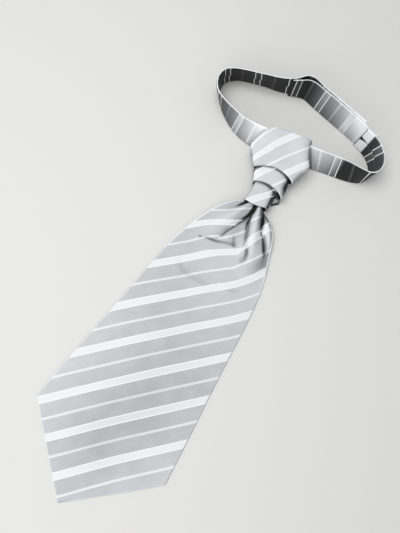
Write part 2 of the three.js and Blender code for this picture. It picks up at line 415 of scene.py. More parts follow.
# Its outline, the height of its edges and the crown between them
bladeRows = named("y left right rim crown", [
    (57.5, -64.8, 64.8, 1.8, 2.5), (102, -61, 60.3, 1.8, 2.8), (150, -55.8, 55, 1.8, 3.1),
    (198, -51, 50.4, 1.9, 3.6), (226, -47.8, 46.8, 2.1, 4.3), (248, -43, 41.4, 2.6, 5.4),
    (266, -36.6, 34.4, 3.4, 6.6), (280, -29.8, 28.8, 4.4, 7.8), (290, -22, 21.2, 5.2, 9.2),
    (297, -13.6, 11.4, 5.6, 10.2), (302, -11.2, 6.4, 6, 10.4), (308, -10.6, 3.4, 6.4, 10),
    (319, -11.2, 0.8, 7, 9.6),
])
# high is a roll's height, wide its width, and shine a painted highlight along it
rollColumns = "x y high wide shine"
rolls = [
    [  # the wide roll that fans out to the left
        (-6.2, 300, 1.4, 2, 0.1), (-9.2, 291, 2.2, 3.8, 0), (-14.4, 280, 2.6, 6, 0.12),
        (-20.5, 267, 2, 7.5, 0.15), (-26, 253, 1, 9, 0), (-31, 238, 0, 11, 0),
    ],
    [  # the middle one
        (1.4, 300, 1.2, 2.2, 0.1), (4.6, 291, 1.8, 3, 0.08), (7.6, 283, 2.5, 4, 0.1),
        (12.8, 272, 2.7, 5, 0.12), (18, 261, 1.8, 6, 0.1), (22, 249, 0.8, 8, 0), (25, 236, 0, 10, 0),
    ],
    [  # the strip along the right edge
        (13.5, 295, 0, 2, 0), (19.5, 287.5, 1.2, 2.6, 0.1), (25, 279.5, 1.8, 3.4, 0.2),
        (30, 269.5, 1.4, 4.4, 0), (33, 258, 0.6, 5, 0), (35, 246, 0, 5, 0),
    ],
]
# Painted light drifting over it, lighter and darker: places and the painted light there
bladePaintedDrift = [
    (12, 22, 0.02), (45, 62, 0.08), (0, 55, -0.13), (-48, 68, 0.1), (20, 98, -0.13), (-44, 125, 0.07),
    (5, 150, -0.08), (0, 185, -0.04), (15, 230, 0.12), (-30, 240, 0),
]
# Each runs down from the knot. Left and right are how far its two walls reach, and dark how
# much painted shade lies in it; some have no depth and are painted shade only.
pleatColumns = "x y deep left right dark"
pleats = {
    "hem": [
        (-8.6, 303, 4, 1.4, 1.6, 1), (-9.6, 298, 4, 1.5, 1.6, 1.1), (-11.6, 294, 3.4, 1.5, 1.3, 1.1),
        (-14, 290.2, 2, 1.3, 1.1, 0.8), (-16.2, 287.4, 0.7, 1, 1, 0.3), (-18.5, 285, 0, 1, 1, 0),
    ],
    "main": [
        (-2.2, 303, 4, 1.4, 1.5, 1), (-1.1, 297, 4.2, 1.3, 1.5, 1.1), (-0.3, 291.4, 3.6, 1.2, 1.3, 1),
        (-0.9, 287, 2.8, 1.1, 1.2, 0.9), (-2.7, 282.6, 2, 1.1, 1.1, 0.7),
        (-4.6, 277, 1.6, 1.6, 1.4, 0.68), (-7, 270.4, 1.5, 1.6, 1.4, 0.62),
        (-9.7, 264.8, 1.4, 1.7, 1.4, 0.72), (-10.8, 260.6, 1.2, 1.4, 1.3, 0.6),
        (-12.3, 256.8, 0.7, 1.2, 1.1, 0.4), (-13.2, 254, 0, 1, 1, 0),
    ],
    "mainSlope": [
        (-3, 303, 0.2, 2.2, 1, 0), (-2, 296, 0.2, 2.2, 1, 0), (-3.8, 284, 0.5, 3.4, 1, 0.05),
        (-8.4, 273, 0.5, 3, 1, 0.06), (-11.8, 264, 0.4, 4, 1, 0.14), (-13.4, 257, 0.2, 4.4, 1, 0.12),
        (-14.6, 251, 0, 3, 1, 0),
    ],
    "second": [
        (-1.2, 298, 0.6, 1.3, 1.3, 0.3), (-0.8, 293, 1.2, 1.6, 1.4, 0.55),
        (-0.2, 288, 1.7, 1.8, 1.3, 0.9), (1.4, 282.6, 2.1, 2.1, 1.5, 1.05),
        (3.3, 277.4, 2.1, 2.2, 1.6, 0.82), (5.9, 272.6, 2, 2.3, 1.6, 0.7), (8, 268, 1.7, 2.3, 1.6, 0.75),
        (9.8, 264.4, 1.2, 2, 1.5, 0.4), (10.6, 261, 0.6, 1.8, 1.4, 0.2), (10.6, 258, 0, 1.6, 1.2, 0),
    ],
    "leftSoft": [
        (-8, 299, 0, 4, 2, 0), (-12.6, 290, 0, 4.6, 3, 0.2), (-17.4, 283.4, 0, 4.6, 3, 0.2),
        (-22, 277, 0, 4, 3, 0),
    ],
    "facet": [
        (-1.4, 293, 0, 1.6, 1.6, 0.5), (-1.6, 288, 0, 2.2, 2.2, 0.85), (-2.4, 282, 0, 3.2, 3.2, 0.82),
        (-3, 276, 0, 4.6, 4.6, 0.34), (-2.8, 270, 0, 6.5, 6.5, 0.3), (-2.2, 264, 0, 7.5, 7.5, 0.24),
        (-1.4, 259, 0, 8, 8, 0.14), (-1, 255, 0, 8, 8, 0),
    ],
    "hollow": [
        (-3.4, 266, 0, 2, 1.6, 0), (-1.4, 263, 0.6, 2.2, 1.8, 0.5), (0.5, 259.8, 0.8, 2.4, 1.8, 0.55),
        (2.2, 257, 0.9, 2.4, 1.9, 0.7), (3.2, 255, 0, 1.6, 1.4, 0),
    ],
    "right": [
        (4.8, 304, 5, 1, 2, 0.6), (6.8, 299.6, 5.6, 1.1, 2.1, 1.1), (9.2, 295.2, 5.4, 1.3, 2.2, 1.2),
        (11.9, 290.2, 4.8, 1.5, 1.7, 1.1), (14.1, 285.2, 3.6, 1.4, 1.2, 0.95),
        (16, 281.6, 2.2, 1.2, 1.1, 0.15), (18.2, 279.2, 2, 1.2, 1.2, 0.4),
        (21.2, 276.8, 1.9, 1.7, 1.9, 0.75), (24.4, 272.6, 2, 2.1, 2.2, 1.05),
        (27.3, 268.4, 1.8, 2.4, 2.4, 1.1), (30, 265, 1.4, 2.6, 2.6, 0.95),
        (31.4, 261, 0.8, 2.8, 2.6, 0.6), (31.6, 257, 0, 2.8, 2.4, 0),
    ],
    "rimShade": [
        (6.8, 302.6, 0, 1.8, 2.2, 0.8), (9.2, 298.4, 0.2, 1.8, 2.2, 1), (12, 295, 0.2, 2, 2.4, 0.9),
        (15, 291.6, 0, 2, 2.4, 0.55), (18, 288, 0, 2, 2.4, 0.2), (20, 285.6, 0, 2, 2, 0),
    ],
    "rightSoft": [
        (28.6, 272, 0, 3, 3, 0), (31, 267, 0.2, 4, 3.4, 0.68), (32.4, 260, 0.2, 5.5, 4.5, 0.72),
        (32.2, 254, 0.2, 6.5, 5, 0.6), (30.4, 247, 0.1, 7, 5, 0.24), (27, 239, 0, 7, 5, 0),
    ],
    "dent": [
        (10.2, 266, 0, 1.6, 1.4, 0), (11.8, 263, 1, 1.8, 1.5, 0.4), (13.7, 260.2, 1.3, 2, 1.7, 0.85),
        (15.6, 257, 1.4, 2, 1.8, 0.9), (16.7, 253.4, 1.3, 2.4, 2, 0.7), (16.6, 249.6, 1, 3, 2.4, 0.42),
        (15.4, 244.6, 0, 3, 2.4, 0),
    ],
    "crease": [
        (9, 258.4, 0, 2, 1.6, 0), (5, 257.6, 0.8, 3, 1.8, 0.12), (-1, 256.2, 0.8, 2, 1.4, 0.5),
        (-7.6, 253.6, 1.1, 1.1, 1, 0.45), (-12.6, 251.4, 1.3, 1, 1, 0.55),
        (-17.4, 250, 1.2, 1, 0.9, 0.66), (-21.4, 249.2, 0.9, 0.9, 0.9, 0.52),
        (-25, 248, 0.4, 0.8, 0.8, 0.2), (-27.4, 247, 1, 0.8, 0.8, 0.6), (-29.2, 246.6, 0, 0.8, 0.8, 0),
    ],
    "shallow": [
        (-32, 221, 0, 2, 2, 0), (-28, 216.5, 0.4, 2.4, 2.4, 0.14), (-20, 213, 0.45, 2.2, 2.2, 0.15),
        (-8, 213, 0.4, 2, 2, 0.13), (0, 214.5, 0.3, 2, 2, 0.1), (8, 216, 0, 2, 2, 0),
    ],
    "slight": [
        (18, 220, 0, 1.2, 1.2, 0), (22, 221.6, 0.3, 1.4, 1.4, 0.18), (26, 223.6, 0.3, 1.4, 1.4, 0.18),
        (30, 226, 0, 1.2, 1.2, 0),
    ],
}
# How far the stripes stray from straight lines: places and the shift there. Low down the cloth
# is one panel, and above that each panel between two pleats is drawn aside by them.
stripeShifts = {
    "all": (
        (-1.5, 6, -0.8), (28, 39, -2), (60, 72, -1.5), (-26, 25, -0.9), (13, 68, -1.9), (54, 110, -1.1),
        (-45, 50, -0.5), (1, 99, -1.3), (49, 148, -0.6), (-58, 81, -1), (-9, 134, -1.4), (26, 170, -0.6),
        (44, 187, 0), (-54, 132, -1.2), (-23, 163, -0.8), (8, 194, 0), (39, 227, 0.1), (-48, 183, -1.4),
        (-22, 208, 0.4), (-10, 220, 0.8), (4, 232, 2.1), (13.5, 240.4, 3), (-46, 227, 1), (-33, 238, 1.9),
        (-6, 244.6, 2),
    ),
    "left": (
        (-20, 251, 2), (-39.2, 253, 3.2), (-26.3, 264.4, 5.7), (-6.1, 276.9, 11.4), (-33.4, 273.3, 9.2),
        (-21.5, 279.3, 13), (-7, 297, 18),
    ),
    "facet": (
        (-10.3, 256.3, 5.8), (3.9, 273, 4.4), (10, 256.2, 5.7), (-1, 292, 5.4),
    ),
    "middle": (
        (10.6, 262.6, 1), (12.9, 269.7, -2.3), (16.4, 277.6, -5.3), (15.7, 245.3, 1.7),
        (27.6, 264.5, -2.9), (4, 293, -4.4),
    ),
    "edge": (
        (16.4, 283.2, -8.8), (19.2, 289.5, -10.7), (30.2, 269.8, -4.6), (8, 299, -12), (36, 255, -3),
    ),
}
# each of those pleats, the panel on its right, and how far to its sides the shift steps
panelEdges = (("main", "facet", 0.6), ("second", "middle", 1.2), ("right", "edge", 1.2))


def bladeTable(name, y):
    # a column of the blade's table at any distance from its point; below the shoulders the
    # outline runs straight to the point
    dense = fillRows(bladeRows, blade["tableSteps"])
    above = np.interp(y, dense["y"], dense[name])
    if name not in ("left", "right"):
        return above
    shoulder = bladeRows[0]
    pointHalf = blade["pointHalf"] * np.sign(shoulder[name])
    below = pointHalf + (shoulder[name] - pointHalf) * y / shoulder["y"]
    return np.where(y < shoulder["y"], below, above)


def bladeTop(x, y, across):
    # the height of the blade's upper side, and the painted shade of its pleats less the painted highlight
    # of its rolls; across is 0 at its left edge and 1 at its right
    rim, crown = bladeTable("rim", y), bladeTable("crown", y)
    height = rim + (crown - rim) * (1 - np.abs(2 * across - 1) ** blade["crownPower"])
    bright, dark = 0, 0
    for roll in rolls:
        distance, at = nearLine(x, y, named(rollColumns, roll))
        near = bell(distance, at["wide"])
        height = height + at["high"] * near
        bright = np.maximum(bright, at["shine"] * near)
    for pleat in pleats.values():
        distance, at = nearLine(x, y, named(pleatColumns, pleat))
        away = np.abs(distance / np.where(distance < 0, at["left"], at["right"]))
        height = height - at["deep"] * np.exp(-(away ** blade["pleatPower"]))
        dark = np.maximum(dark, at["dark"] * bell(blade["darkWithin"] * away, 1))
    return height, dark - bright


def shiftIn(panel, x, y):
    return smoothSurface(stripeShifts["all"] + stripeShifts[panel], x, y)


def pastPleat(pleat, x, y):
    # how far to the right of a pleat a place lies
    line = fillRows(named(pleatColumns, pleats[pleat]), blade["pleatSteps"])
    order = np.argsort(line["y"])
    return x - np.interp(y, line["y"][order], line["x"][order])


def stripeShift(x, y):
    shift = shiftIn("left", x, y)
    for pleat, panel, reach in panelEdges:
        beyond = smoothStep(-reach, reach, pastPleat(pleat, x, y))
        shift = shift + (shiftIn(panel, x, y) - shift) * beyond
    return shift


def stripePlace(x, y):
    slope = math.radians(stripes["slope"])
    along = x * math.cos(slope) + y * math.sin(slope)
    across = y * math.cos(slope) - x * math.sin(slope) - stripes["first"]
    return along, across + stripeShift(x, y)


def makeBlade():
    y = np.concatenate([blade["tipRows"], *(np.arange(*run) for run in blade["rowRuns"])])
    left, right = bladeTable("left", y), bladeTable("right", y)
    rounding = np.minimum(blade["edgeRound"], (right - left) * blade["edgeMost"])
    topPart = np.linspace(0, 1, blade["topColumns"] + 1)
    underPart = np.linspace(1, 0, blade["underColumns"] + 1)
    turnPart = np.linspace(0, 1, blade["edgeColumns"] + 2)[1:-1] * math.pi

    def grid(part):
        x = (left + rounding)[:, None] + part * (right - left - 2 * rounding)[:, None]
        return x, np.broadcast_to(y[:, None], x.shape)

    topX, topY = grid(topPart)
    topZ, dark = bladeTop(topX, topY, topPart)
    folded = 2 * rounding[:, None]
    topZ = np.maximum(topZ, folded)
    underX, underY = grid(underPart)
    smoothTop = np.maximum(bladeTop(underX, underY, underPart)[0], folded)
    leftUnder, rightUnder = topZ[:, :1] - folded, topZ[:, -1:] - folded
    straight = leftUnder + (rightUnder - leftUnder) * underPart
    domed = straight + blade["dome"] * np.maximum(smoothTop - folded - straight, 0)
    underZ = np.minimum(domed, smoothTop - blade["leastWall"])
    underZ = np.maximum(underZ, 0)
    underZ[:, 0], underZ[:, -1] = rightUnder[:, 0], leftUnder[:, 0]

    def edge(side, edgeZ):
        # the folded edge: down round the right side, or up round the left
        middleX = right - rounding if side > 0 else left + rounding
        angle = turnPart if side > 0 else math.pi + turnPart
        x = middleX[:, None] + rounding[:, None] * np.sin(angle)
        z = edgeZ - rounding[:, None] * (1 - np.cos(angle))
        return x, z

    rightX, rightZ = edge(1, topZ[:, -1:])
    leftX, leftZ = edge(-1, topZ[:, :1])
    x = np.hstack([topX, rightX, underX, leftX, topX[:, :1]])
    z = np.hstack([topZ, rightZ, underZ, leftZ, topZ[:, :1]])
    allY = np.broadcast_to(y[:, None], x.shape)

    # both ends grow thin towards their middle plane
    fromEnd = np.minimum(y, blade["length"] - y)
    thinned = roundedEnd(fromEnd, blade["endRound"], blade["endLeast"])
    middleZ = (topZ[:, :1] + leftUnder) / 2
    z = middleZ + (z - middleZ) * thinned[:, None]

    # the pattern runs on round the edges to what is turned under
    topCount, edgeCount = len(topPart), len(turnPart)
    rightEdge = slice(topCount, topCount + edgeCount)
    under = slice(topCount + edgeCount, topCount + edgeCount + len(underPart))
    leftEdge = slice(under.stop, under.stop + edgeCount)
    patternX = x.copy()
    patternX[:, rightEdge] = (right + rounding * (turnPart[:, None] - 1)).T
    nearer = np.where(underPart > 0.5, right[:, None], left[:, None])
    patternX[:, under] = 2 * nearer - x[:, under]
    patternX[:, leftEdge] = (left + rounding * (1 - turnPart[::-1, None])).T
    along, across = stripePlace(patternX, allY)

    # a painted highlight runs along the folded edges, most of all in the gathers, over the painted light
    # drift and the pleats' painted shade
    gathered = smoothStep(*blade["gathers"], y)[:, None]

    def edgeShine(name):
        flat, more = blade[name]
        return flat + more * gathered

    paintedDrift = np.clip(smoothSurface(bladePaintedDrift, topX, topY), -blade["paintedDriftMost"], blade["paintedDriftMost"])
    lustre = np.zeros_like(x)
    inward = np.minimum(topX - left[:, None], right[:, None] - topX)
    edgeHighlight = edgeShine("edgeHighlight") * bell(inward, blade["edgeHighlightWide"])
    lustre[:, :topCount] = paintedDrift + edgeHighlight - dark * (1 - blade["edgeHighlightOverShade"] * edgeHighlight)
    apart = np.abs(shiftIn("left", topX, topY) - shiftIn("facet", topX, topY))
    hidden = smoothStep(*blade["partedBy"], apart) * smoothStep(*blade["partedUp"], topY)
    inPleat = bell(pastPleat("main", topX, topY), blade["partedWide"])
    lustre[:, :topCount] -= blade["partedDark"] * hidden * inPleat
    lustre[:, rightEdge] = edgeShine("rightFold")
    lustre[:, leftEdge] = edgeShine("leftFold")
    lustre[:, -1] = lustre[:, 0]
    points, pattern = np.stack([x, allY, z], -1), np.stack([along, across], -1)
    return layCloth("blade_cloth", points, pattern, lustre, capped=True)


finishPiece(makeBlade(), "blade", "blade_satin")

print("knot")
knot = {
    "x": 3.3,
    "y": 300.5,
    "turn": 14,  # degrees that it leans from the blade's line
    "slope": 44,  # degrees that its stripes climb
    "wall": 1.7,
    "thinnest": 0.02,  # how much of its height a closed end keeps
    "around": 168,
    "levels": 52,
    "rimRows": 5,
    "endRows": 8,
    "ringSteps": 720,
    "tableSteps": 400,
    "endRound": 3,
    "endPower": 0.8,
    # painted highlight over the whole knot
    "lustre": 0.24,
    "sole": 7,  # how square a wrap is below its middle
    "soleFrom": (0.15, -0.15),
    "tuckFrom": 0.5,
    "tuckPower": 3,
    # soft waves on its upper side: their height, their lengths across and up, and their start
    "waves": ((0.16, 4.4, 6, 1), (0.1, 2.7, -3.6, 0)),
    "wavesFrom": (8, 13),
    "shiftsFrom": (2, 10),
    # how far in from the outside the rim's painted highlight comes and goes, and the painted shade inside
    # starts
    "rimShine": (0, 0.33),
    "rimShineOff": (0.7, 0.45),
    "inside": (0.45, 0.75),
    "insideDark": 1.7,
}
# Each wrap in the knot's frame: w runs up it. Dip is how far the rim's middle is drawn up
# from its corners, and slant how far it climbs from left to right.
ringColumns = "w left right floor top dip slant"
# shades are lines of painted shade on the cloth, or painted highlight where dark is below zero
shadeColumns = "x y wide dark"
wraps = {
    "upper": {
        "rows": named(ringColumns, [
            (27.2, -20.4, 19.2, 0, 19.4, 6.6, -1.6), (36, -23.6, 23, 0, 21, 4, 0),
            (45, -28.2, 28.4, 0, 22.6, 0, 0), (51, -27.2, 26.2, 0, 23.6, 0, 0),
            (61, -22.2, 23.9, 0, 25.6, 0, 0), (69.6, -16.6, 23.2, 0, 25.8, 0, 0),
        ]),
        "flat": (0.127, 0.0424),
        "square": (5, 5),  # how square its shoulders are, left and right
        "stripe": 28.8,  # where a narrow stripe crosses its middle line
        "sweep": (0.4, 0.12),  # how far its rim runs back for each millimetre down its sides
        "tuck": (2, 6),  # how much narrower it is below than at its shoulders
        "closed": True,
        "stripeShifts": [  # the stripes bend at its folds
            (-26.2, 45.5, 8), (-22, 53.5, 5.6), (-17.4, 61.5, 3.4), (-19.3, 37.4, 3.3), (-12, 47.8, 2.7),
            (-1.6, 60.5, 1.2), (8, 66, 0), (-7, 34.6, 0.2), (4, 46.2, -0.2), (12.2, 51.6, 0.6),
            (21, 59, 0.6), (10.4, 32.8, -1.9), (20, 42, -2.2),
        ],
        # painted highlight down its right side
        "shades": [[
            (19, 25, 3, -0.5), (23, 33, 4, -0.8), (26.4, 40, 4, -1.3), (29, 45, 3, -0.6),
            (28, 52, 3, -0.3), (26, 63, 3.4, -0.7), (25.4, 69.6, 3.4, -1),
        ], [  # painted highlight along its left edge
            (-21, 28, 1.4, -0.2), (-24.4, 37, 1.6, -0.6), (-28, 45, 1.8, -0.9), (-25.6, 54, 1.8, -0.9),
            (-18.6, 66, 1.8, -0.9),
        ], [  # painted highlight along its upper edge
            (-18, 68.6, 1.6, -0.8), (0, 69.4, 1.6, -0.9), (22, 69.4, 1.6, -0.9),
        ]],
    },
    "middle": {
        "rows": named(ringColumns, [
            (14, -15.9, 15.4, 0, 15.9, 4.6, -6), (22, -16.9, 16.4, 0.6, 16.8, 2.4, -2),
            (29, -18.2, 16.6, 2.3, 17.2, 0, 0), (44, -20, 18, 2.3, 17.8, 0, 0),
        ]),
        "flat": (0.089, 0.03),
        "square": (5, 2.3),
        "stripe": 10.8,
        "sweep": (0.15, 0.05),
        "tuck": (1, 1.5),
        "closed": False,
        # painted shade down its right side
        "shades": [[
            (15.6, 27, 1.6, 0.3), (14.4, 23.4, 3.2, 0.85), (13, 19.6, 2.8, 0.7), (12, 16, 1.6, 0.1),
        ], [  # painted shade in the gap under the upper wrap's rim
            (-20, 27.6, 1.8, 0.9), (-16, 30.2, 1.8, 1), (-9.6, 32.8, 1.4, 0.9), (-2, 33.6, 1.2, 0.9),
            (4, 33, 1.4, 1), (11, 30.5, 1.6, 1.05), (17, 26.8, 1.6, 1),
        ], [  # the rim's soft painted shadow
            (-20, 24.5, 2.2, 0.2), (-17, 27.5, 2.4, 0.32), (-13.5, 29.5, 2, 0.25), (-9, 30.8, 1.4, 0.1),
        ]],
    },
    "lower": {
        "rows": named(ringColumns, [
            (-1.2, -17.6, 6.2, 0, 14.2, -1.6, -1), (8, -15, 7.6, 0.8, 13.9, -1, -0.5),
            (15, -13.6, 9.6, 2.3, 13.7, 0, 0), (27, -13.8, 8.2, 4.2, 14.4, 0, 0),
        ]),
        "flat": (0.062, 0.0282),
        "square": (4.5, 2.4),
        "stripe": -8,
        "sweep": (0.1, 0),
        "tuck": (0.5, 1),
        "closed": False,
        # painted shade down its right side
        "shades": [[
            (4.8, 14, 1.2, 0.3), (6.2, 11.6, 1.8, 0.8), (7.6, 8, 2.8, 1), (7.4, 4, 3, 0.9),
            (6.4, 0, 2, 0.55), (5.8, -5, 1.4, 0.3),
        ], [  # painted shade in the gap under the middle wrap's rim
            (-14.6, 16.6, 1.6, 0.7), (-9.4, 18.6, 1.7, 1), (-4, 18.5, 1.7, 1.1), (1, 17.2, 1.7, 1.2),
            (5, 15.1, 1.7, 1.1), (9, 12.6, 1.8, 1),
        ], [  # soft painted shade beside it
            (0.6, 14, 1.4, 0.2), (2.6, 12.4, 1.8, 0.35), (4.6, 10.4, 1.8, 0.35), (6, 8.6, 1.4, 0.2),
        ]],
    },
}
knotTurn = math.radians(knot["turn"])


def fromKnot(u, w):
    x = knot["x"] + u * math.cos(knotTurn) - w * math.sin(knotTurn)
    y = knot["y"] + u * math.sin(knotTurn) + w * math.cos(knotTurn)
    return x, y


def rowsAt(rows, w):
    dense = fillRows(rows, knot["tableSteps"])
    return [{name: float(np.interp(at, dense["w"], run)) for name, run in dense.items()} for at in w]


def wrapRing(row, inset, square, flatten=1.0, sweep=(0, 0), tuck=(0, 0)):
    # one ring of a wrap from the middle of its underside, to the left, over and back down, with
    # evenly spaced points; the last run is how far each is round the ring from the top
    angle = np.linspace(-0.5, -2.5, knot["ringSteps"] + 1) * math.pi
    left, right = square
    power = left + (right - left) * (1 + np.cos(angle)) / 2
    power = power + (knot["sole"] - power) * smoothStep(*knot["soleFrom"], np.sin(angle))
    reach = (np.abs(np.cos(angle)) ** power + np.abs(np.sin(angle)) ** power) ** (-1 / power)
    across, up = reach * np.cos(angle), reach * np.sin(angle)
    u = (row["left"] + row["right"]) / 2 + ((row["right"] - row["left"]) / 2 - inset) * across
    tucked = np.where(across < 0, -tuck[0], tuck[1]) * np.abs(across) ** knot["tuckPower"]
    u = u - tucked * np.clip((knot["tuckFrom"] - up) / (knot["tuckFrom"] + 1), 0, 1)
    middle, half = (row["floor"] + row["top"]) / 2, (row["top"] - row["floor"]) / 2 - inset
    w = row["w"] + row["dip"] * (1 - across**2) + row["slant"] * across / 2
    w = w + (sweep[0] + (sweep[1] - sweep[0]) * (1 + across) / 2) * half * (1 - up)
    length = np.concatenate([[0], np.cumsum(np.hypot(np.diff(u), np.diff(half * up)))])
    at = np.linspace(0, length[-1], knot["around"] + 1)
    u, w, z = (np.interp(at, length, run) for run in (u, w, middle + half * up * flatten))
    return u, w, z, at - length[-1] / 2


def makeWrap(name, wrap):
    rows, wall = wrap["rows"], knot["wall"]
    low, high = rows[0]["w"], rows[-1]["w"]
    ease = knot["endRound"] if wrap["closed"] else 0
    turn = np.linspace(0, math.pi / 2, knot["endRows"] + 1)[1:]
    levels = np.linspace(low + wall / 2, high - ease, knot["levels"])
    # its rings, from the far end down outside, round the rim and up inside: how far up, how far
    # in, how much of its full height, and whether on the rim
    shapes = [(w, 0.0, 1.0, 0.0) for w in levels[1:]]
    if wrap["closed"]:
        for t in turn:
            flatten = max(math.cos(t), knot["thinnest"]) ** knot["endPower"]
            shapes.append((high - ease + ease * math.sin(t), 0.0, flatten, 0.0))
    shapes = shapes[::-1]
    for t in np.linspace(0, math.pi, knot["rimRows"] + 2):
        shapes.append((low + wall / 2 * (1 - math.sin(t)), wall / 2 * (1 - math.cos(t)), 1.0, 1.0))
    shapes += [(w, wall, 1.0, 0.0) for w in levels[2:-4:2]]
    if wrap["closed"]:
        inner = high - wall - 2 * ease
        for t in turn:
            flatten = max(math.cos(t), knot["thinnest"])
            shapes.append((inner + ease * math.sin(t), wall, flatten, 0.0))
    table = rowsAt(rows, [shape[0] for shape in shapes])
    rings = []
    for row, (w, inset, flatten, rim) in zip(table, shapes):
        fade = (1 - min((w - low) / (high - low), 1)) ** 2
        sweep = [side * fade for side in wrap["sweep"]]
        rings.append(wrapRing(row, inset, wrap["square"], flatten, sweep, wrap["tuck"]))
    if not wrap["closed"]:
        rings.append(rings[0])
    u, w, z, around = (np.array([ring[i] for ring in rings]) for i in range(4))
    shapes += shapes[:1] * (len(rings) - len(shapes))
    inset, rim = (np.array([shape[i] for shape in shapes])[:, None] for i in (1, 3))

    top = smoothStep(*knot["wavesFrom"], z) * (inset < wall / 2)
    z = z + top * sum(
        high * np.sin(u / across + w / up + start) for high, across, up, start in knot["waves"]
    )
    # painted highlight to the rim's edge, and painted shade inside it and along the shade lines
    inward = inset / wall
    shine = rim * smoothStep(*knot["rimShine"], inward) * smoothStep(*knot["rimShineOff"], inward)
    lustre = knot["lustre"] + shine - knot["insideDark"] * smoothStep(*knot["inside"], inward)
    for shade in wrap["shades"]:
        away, at = nearLine(u, w, named(shadeColumns, shade))
        lustre = lustre - at["dark"] * bell(away, at["wide"]) * (inset < wall / 2)
    slope = math.radians(knot["slope"])
    along = around * math.cos(slope) + w * math.sin(slope)
    start = (rows[0]["left"] + rows[0]["right"]) / 2 * math.sin(slope) + wrap["stripe"]
    across = w * math.cos(slope) - around * math.sin(slope) - start
    if "stripeShifts" in wrap:
        shift = smoothSurface(wrap["stripeShifts"], u, w)
        across = across + shift * smoothStep(*knot["shiftsFrom"], z)
    x, y = fromKnot(u, w)
    points, pattern = np.stack([x, y, z], -1), np.stack([along, across], -1)
    return layCloth(name, points, pattern, lustre + 0 * z, capped=wrap["closed"])


wrapPieces = {name: makeWrap(name + "_wrap_cloth", wrap) for name, wrap in wraps.items()}

print("neckband")
band = {
    "width": 23.5,
    "wall": 1.8,
    "tabWall": 1.6,
    "faceRows": 40,
    "edgeRows": 7,
    "tableSteps": 2000,
    "endRound": 0.8,
    "swell": 0.16,  # how much thicker it is between its folded edges
    "swellPower": 0.6,
    # the seam where it is closed, and how much more where it has come open; its dark is painted shade in
    # the groove
    "seamWide": (0.35, 1.1),
    "seamDeep": (0.25, 0.5),
    "seamDark": (0.9, 4),
    "seamShift": 1.3,  # how far the stripes stray at it
    "climb": (0.5, 0.85),  # how much of the band's painted light the lower edge gets, and how much more the upper
    "leaveDark": 0.6,  # painted shade where it leaves the knot
    "leaveWide": 1.3,
    # a painted highlight along the upper edge
    "edgeShine": 1.4,
    "edgeFrom": (0.22, 0.04),  # how far below the top, for each millimetre of half the wall
    "edgeUpTo": 1.6,  # no painted edge highlight is added where the painted light is this high
    "topDark": (0.5, 1.8),  # painted shade on the upper edge's sides, and how much more on the shaded end
    "topFrom": (1, 0.7),
    "shadedEndSoft": 4,
    "wingSlant": 1.5,
    # painted highlight on the opened wings, and painted shade along their end's rim
    "wingShine": 1.9,
    "rimDark": 2.6,
    "rimWide": 0.7,
    "slotSpare": 0.35,
    "slotSteps": 400,
    "slotEvery": 6,
}
# Places on each band's lower edge. Lean is how far the upper edge leans out of the loop there,
# rise how high the lower edge is, and the last column the painted light along the band.
bandColumns = "x y lean rise lustre"
leftRows = named(bandColumns, [
    (-9.2, 352.4, -11, 2.1, 1.6), (-24, 348.9, -11.4, 2.1, 1.6), (-39, 347, -10.8, 1, 1.3),
    (-54, 348.8, -8, 0, 0.8), (-66, 353.6, -4.4, 0, 0.4), (-76, 359.8, 0, 0, 0.12),
    (-85, 367.4, 3.6, 0, 0), (-91.6, 376, 3, 0, 0), (-93.4, 385.4, 0, 0, 0), (-89, 393, -2.6, 0, 0),
    (-80.5, 398.9, -3.8, 0, 0), (-62, 405.8, -3.6, 0, 0), (-45, 410.2, -1.4, 0, 0),
    (-33, 415.2, 1.6, 0, 0), (-23, 420, 6, 0, 0), (-10, 417.4, 6.6, 0, 0.15), (16, 413, 7, 0, 0.95),
    (39, 409.1, 7, 0, 1.3),
])
rightRows = named(bandColumns, [
    (-8.7, 352.5, -11, 2.1, 1.3), (6.2, 354.9, -11, 2.1, 0.95), (19.3, 359.3, -9.4, 1, 1.08),
    (34, 363.6, -8.6, 0, 0.68), (48, 366.8, -7.6, 0, -0.12), (59.6, 370.6, -4.6, 0, 0),
    (67.2, 375.6, -0.6, 0, 0), (69.9, 382.8, 3, 0, 0), (67.4, 390.4, 5, 0, 0), (61.4, 396.8, 6.4, 0, 0),
    (53, 401.4, 7, 0, 0), (42.6, 404.1, 7, 0, 0),
])
tabRows = named(bandColumns, [
    (-36, 411, 0.4, 0.6, -0.05), (-28.6, 414.4, 2, 0.6, -0.05), (-20.4, 416.8, 5, 0, 0),
    (-8, 414.4, 6.6, 0, 0.25), (16, 410.4, 7, 0, 0.8), (40, 406.5, 7, 0, 1.9), (54.4, 403.4, 7, 0, 2),
])
